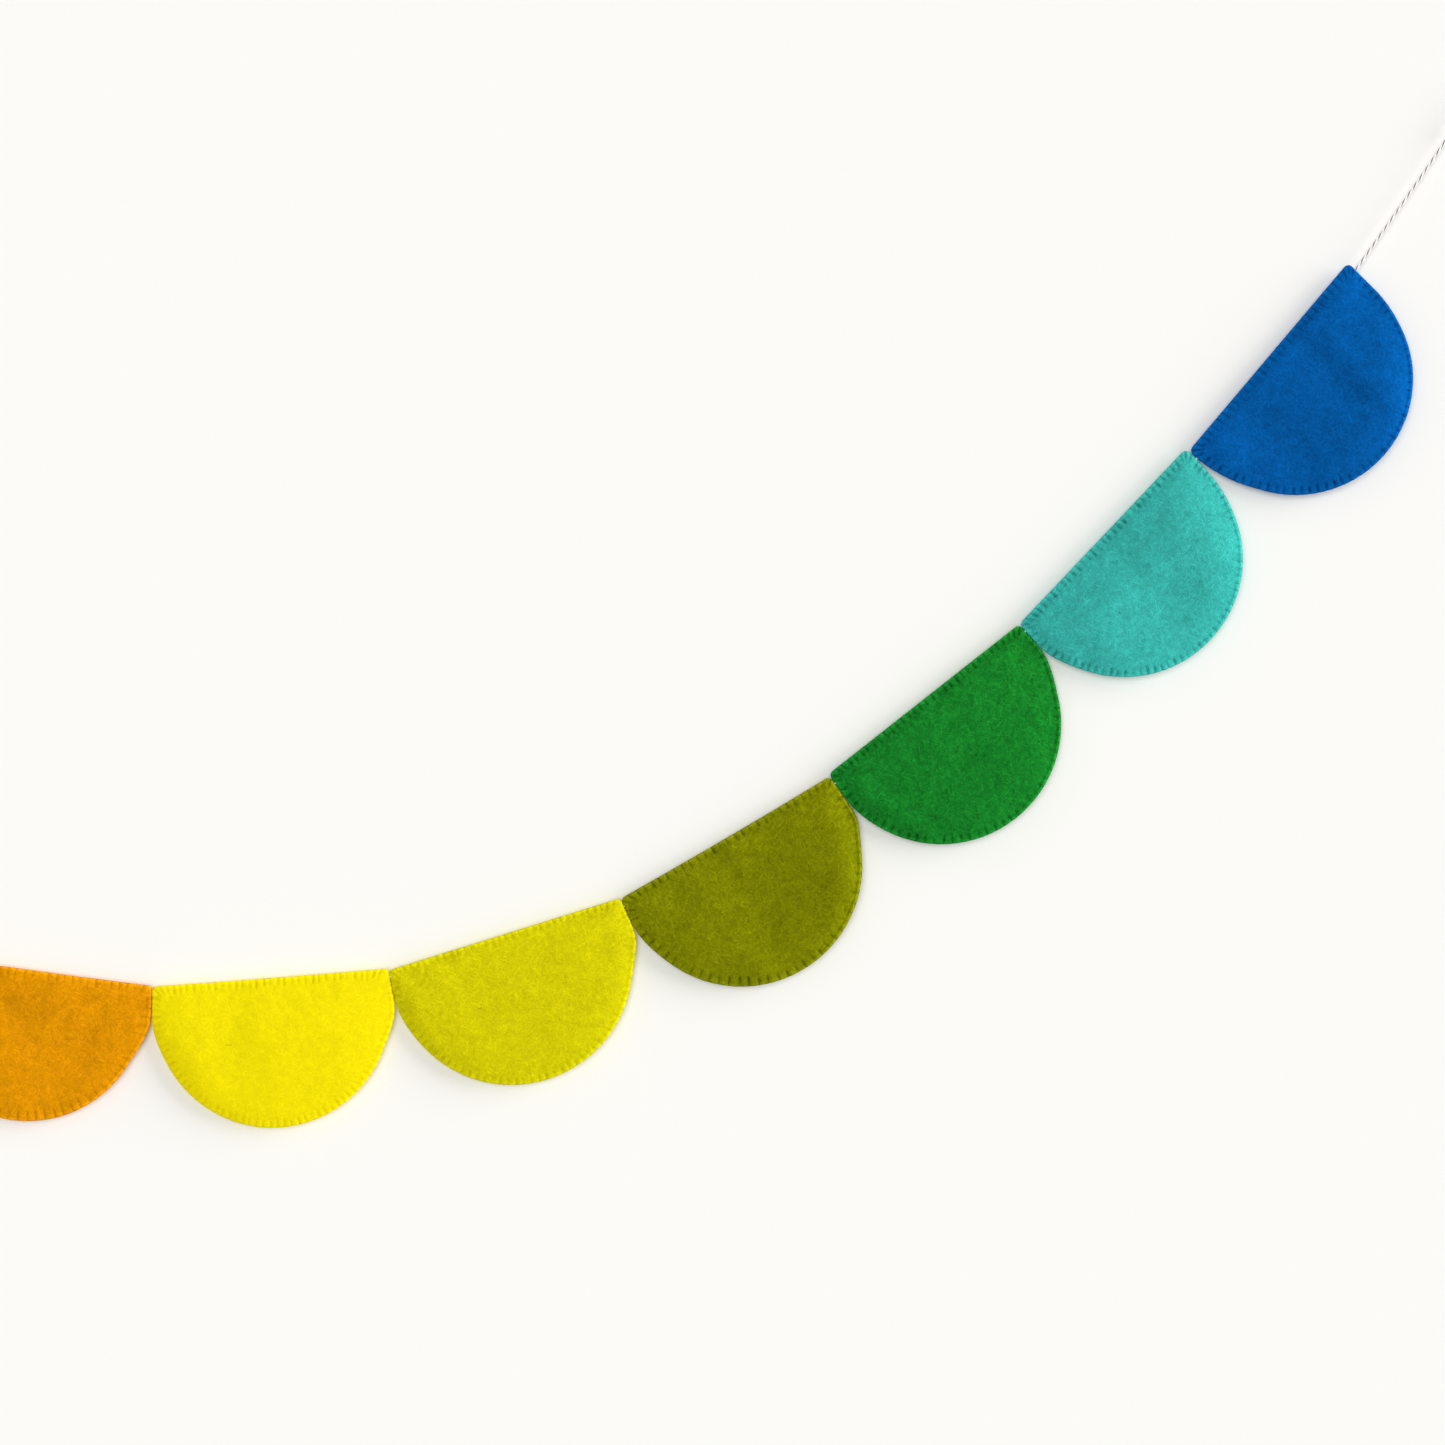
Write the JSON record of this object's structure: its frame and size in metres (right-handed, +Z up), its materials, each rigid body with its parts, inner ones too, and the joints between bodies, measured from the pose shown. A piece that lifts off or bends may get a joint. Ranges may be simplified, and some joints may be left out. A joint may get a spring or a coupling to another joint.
{
  "type": "felt scallop bunting",
  "caption": "Hanging garland of half-round felt scallops in warm to cool colours, blanket-stitched round their rims and strung on striped twine with a hanging loop at each end.",
  "frame": {"origin": "centre of the eye of the right loop, where a hook holds the bunting up", "axes": "+X to the right along the row of scallops, +Z up, -Y out of the front towards the viewer"},
  "size_m": [0.7285, 0.0079, 0.4444],
  "materials": {
    "orange_felt": "matt orange wool-blend felt",
    "yellow_felt": "matt lemon yellow wool-blend felt",
    "chartreuse_felt": "matt chartreuse wool-blend felt",
    "olive_felt": "matt olive wool-blend felt",
    "green_felt": "matt emerald green wool-blend felt",
    "teal_felt": "matt teal wool-blend felt",
    "blue_felt": "matt royal blue wool-blend felt",
    "twine": "matt white cotton twine with dark red strands twisted in"
  },
  "bodies": {
    "root": {"orange_front": "orange_felt", "orange_back": "orange_felt", "yellow_front": "yellow_felt", "yellow_back": "yellow_felt", "chartreuse_front": "chartreuse_felt", "chartreuse_back": "chartreuse_felt", "olive_front": "olive_felt", "olive_back": "olive_felt", "green_front": "green_felt", "green_back": "green_felt", "teal_front": "teal_felt", "teal_back": "teal_felt", "blue_front": "blue_felt", "blue_back": "blue_felt", "twine_run": "twine", "twine_right_tail": "twine", "twine_left_tail": "twine", "right_knot": "twine", "left_knot": "twine", "right_loop": "twine", "left_loop": "twine"}
  },
  "joints": []
}
